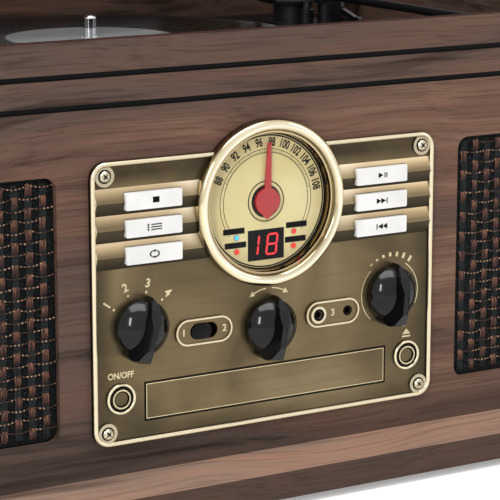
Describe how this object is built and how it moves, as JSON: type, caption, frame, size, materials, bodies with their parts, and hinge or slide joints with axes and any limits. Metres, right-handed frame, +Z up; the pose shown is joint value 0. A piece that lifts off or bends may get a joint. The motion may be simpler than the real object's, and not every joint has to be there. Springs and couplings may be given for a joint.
{
  "type": "stereo music centre",
  "caption": "Wooden stereo music centre with hinged lid, belt-driven turntable and tonearm, cord-driven radio dial on a brass panel, disc tray and two speakers",
  "frame": {"origin": "centre of the cabinet's flat underside, between the four feet", "axes": "+X to the right as seen from the front, +Y to the back, +Z up"},
  "size_m": [0.479, 0.3966, 0.5645],
  "materials": {
    "front_wood": "satin",
    "side_wood": "satin",
    "lid_wood": "satin",
    "plinth_wood": "satin",
    "fibreboard": "matt",
    "rubber": "matt",
    "mat_rubber": "satin",
    "black_plastic": "satin",
    "dark_grey_plastic": "satin",
    "arm_black": "satin",
    "brass_fittings": "polished",
    "steel": "brushed",
    "platter_aluminium": "turned",
    "grey_disc": "satin",
    "chrome": "polished",
    "bush_brass": "turned",
    "panel_brass": "satin, aged",
    "screw_brass": "worn",
    "bezel_brass": "polished",
    "plate_brass": "satin",
    "button_brass": "satin",
    "lens": "clear",
    "dial_cream": "printed",
    "pointer_red": "gloss",
    "display_black": "gloss",
    "key_white": "gloss",
    "knob_black": "gloss",
    "cord": "braided",
    "board_green": "satin",
    "zinc_sheet": "satin",
    "speaker_cloth": "woven",
    "driver_black": "matt",
    "socket_metal": "plated"
  },
  "bodies": {
    "cabinet": {"front_board": "front_wood", "cabinet_sides": "side_wood", "rear_board": "side_wood", "base_board": "fibreboard", "plinth": "plinth_wood", "feet": "rubber", "deck_plate": "black_plastic", "cabinet_hinge_leaves": "brass_fittings", "stay_guide": "black_plastic", "bearing_bush": "bush_brass", "drive_belt": "rubber", "motor": "steel", "arm_base": "black_plastic", "arm_rest": "black_plastic", "brass_panel": "panel_brass", "panel_screws": "screw_brass", "dial_bezel": "bezel_brass", "dial_lens": "lens", "dial_plate": "dial_cream", "display_module": "display_black", "tuning_cord": "cord", "circuit_boards": "board_green", "oval_plates": "plate_brass", "cd_drive": "zinc_sheet", "speaker_cloths": "speaker_cloth", "speaker_drivers": "driver_black", "rear_panel": "black_plastic", "rear_sockets": "socket_metal"},
    "lid": {"lid": "lid_wood", "lid_hinge_leaves": "brass_fittings", "lid_stay": "steel"},
    "platter": {"platter": "platter_aluminium", "platter_mat": "mat_rubber", "centre_disc": "grey_disc", "spindle": "chrome"},
    "pulley": {"motor_pulley": "bush_brass"},
    "yoke": {"arm_yoke": "black_plastic"},
    "arm": {"tonearm": "arm_black", "headshell": "black_plastic", "cartridge": "dark_grey_plastic", "counterweight": "steel"},
    "latch": {"arm_latch": "black_plastic"},
    "cue_lever": {"cue_lever": "chrome"},
    "cue_platform": {"cue_platform": "rubber"},
    "speed_lever": {"speed_lever": "chrome"},
    "pointer": {"dial_pointer": "pointer_red"},
    "tuning_knob": {"tuning_knob": "knob_black"},
    "function_knob": {"function_knob": "knob_black"},
    "volume_knob": {"volume_knob": "knob_black"},
    "slide_knob": {"slide_knob": "knob_black"},
    "power_button": {"power_button": "button_brass"},
    "open_button": {"open_button": "button_brass"},
    "stop_key": {"stop_key": "key_white"},
    "program_key": {"program_key": "key_white"},
    "repeat_key": {"repeat_key": "key_white"},
    "play_key": {"play_key": "key_white"},
    "next_key": {"next_key": "key_white"},
    "previous_key": {"previous_key": "key_white"},
    "tray": {"cd_tray": "black_plastic", "tray_door": "panel_brass"}
  },
  "joints": [
    {"name": "lid_hinge", "type": "hinge", "parent": "cabinet", "child": "lid", "pos_m": [0, 0.1715, 0.242], "axis": [1, 0, 0], "range_deg": [0, 62]},
    {"name": "platter_spin", "type": "hinge", "parent": "cabinet", "child": "platter", "pos_m": [-0.015, 0, 0.22], "axis": [0, 0, -1], "continuous": true},
    {"name": "motor_spin", "type": "hinge", "parent": "cabinet", "child": "pulley", "pos_m": [-0.08463, -0.04875, 0.21], "axis": [0, 0, -1], "continuous": true},
    {"name": "arm_swing", "type": "hinge", "parent": "cabinet", "child": "yoke", "pos_m": [0.175, 0.095, 0.226], "axis": [0, 0, -1], "range_deg": [0, 48]},
    {"name": "arm_lift", "type": "hinge", "parent": "yoke", "child": "arm", "pos_m": [0.175, 0.095, 0.231], "axis": [-1, 0, 0], "range_deg": [0, 7.2]},
    {"name": "latch_hinge", "type": "hinge", "parent": "cabinet", "child": "latch", "pos_m": [0.1825, 0.057, 0.2355], "axis": [0, -1, 0], "range_deg": [0, 95]},
    {"name": "cue_lever_turn", "type": "hinge", "parent": "cabinet", "child": "cue_lever", "pos_m": [0.188, 0.07, 0.221], "axis": [-1, 0, 0], "range_deg": [0, 60]},
    {"name": "cue_platform_slide", "type": "slide", "parent": "cabinet", "child": "cue_platform", "axis": [0, 0, 1], "range_m": [0, 0.00294]},
    {"name": "speed_select", "type": "hinge", "parent": "cabinet", "child": "speed_lever", "pos_m": [0.186, -0.118, 0.21], "axis": [0, 0, 1], "range_deg": [-25, 25]},
    {"name": "tuning_turn", "type": "hinge", "parent": "cabinet", "child": "tuning_knob", "pos_m": [0, -0.168, 0.091], "axis": [0, 1, 0], "range_deg": [-402, 432]},
    {"name": "pointer_turn", "type": "hinge", "parent": "cabinet", "child": "pointer", "pos_m": [0, -0.168, 0.155], "axis": [0, 1, 0], "range_deg": [-67.5, 72.5]},
    {"name": "function_turn", "type": "hinge", "parent": "cabinet", "child": "function_knob", "pos_m": [-0.0737, -0.168, 0.0995], "axis": [0, 1, 0], "range_deg": [-66, 33]},
    {"name": "volume_turn", "type": "hinge", "parent": "cabinet", "child": "volume_knob", "pos_m": [0.0737, -0.168, 0.0995], "axis": [0, 1, 0], "range_deg": [-150, 145]},
    {"name": "slide_move", "type": "slide", "parent": "cabinet", "child": "slide_knob", "axis": [1, 0, 0], "range_m": [0, 0.003]},
    {"name": "power_press", "type": "slide", "parent": "cabinet", "child": "power_button", "axis": [0, 1, 0], "range_m": [0, 0.0025], "stiffness_N_per_m": 800, "springref_m": -0.001},
    {"name": "open_press", "type": "slide", "parent": "cabinet", "child": "open_button", "axis": [0, 1, 0], "range_m": [0, 0.0025], "stiffness_N_per_m": 800, "springref_m": -0.001},
    {"name": "stop_press", "type": "slide", "parent": "cabinet", "child": "stop_key", "axis": [0, 1, 0], "range_m": [0, 0.0015], "stiffness_N_per_m": 800, "springref_m": -0.001},
    {"name": "program_press", "type": "slide", "parent": "cabinet", "child": "program_key", "axis": [0, 1, 0], "range_m": [0, 0.0015], "stiffness_N_per_m": 800, "springref_m": -0.001},
    {"name": "repeat_press", "type": "slide", "parent": "cabinet", "child": "repeat_key", "axis": [0, 1, 0], "range_m": [0, 0.0015], "stiffness_N_per_m": 800, "springref_m": -0.001},
    {"name": "play_press", "type": "slide", "parent": "cabinet", "child": "play_key", "axis": [0, 1, 0], "range_m": [0, 0.0015], "stiffness_N_per_m": 800, "springref_m": -0.001},
    {"name": "next_press", "type": "slide", "parent": "cabinet", "child": "next_key", "axis": [0, 1, 0], "range_m": [0, 0.0015], "stiffness_N_per_m": 800, "springref_m": -0.001},
    {"name": "previous_press", "type": "slide", "parent": "cabinet", "child": "previous_key", "axis": [0, 1, 0], "range_m": [0, 0.0015], "stiffness_N_per_m": 800, "springref_m": -0.001},
    {"name": "tray_slide", "type": "slide", "parent": "cabinet", "child": "tray", "axis": [0, -1, 0], "range_m": [0, 0.132]}
  ],
  "couplings": [
    {"joint": "motor_spin", "follows": "platter_spin", "ratio": 10.2},
    {"joint": "pointer_turn", "follows": "tuning_turn", "ratio": 0.16667},
    {"joint": "cue_lever_turn", "follows": "cue_platform_slide", "rad_per_m": 355.4},
    {"joint": "arm_lift", "follows": "cue_platform_slide", "rad_per_m": 41.46}
  ]
}
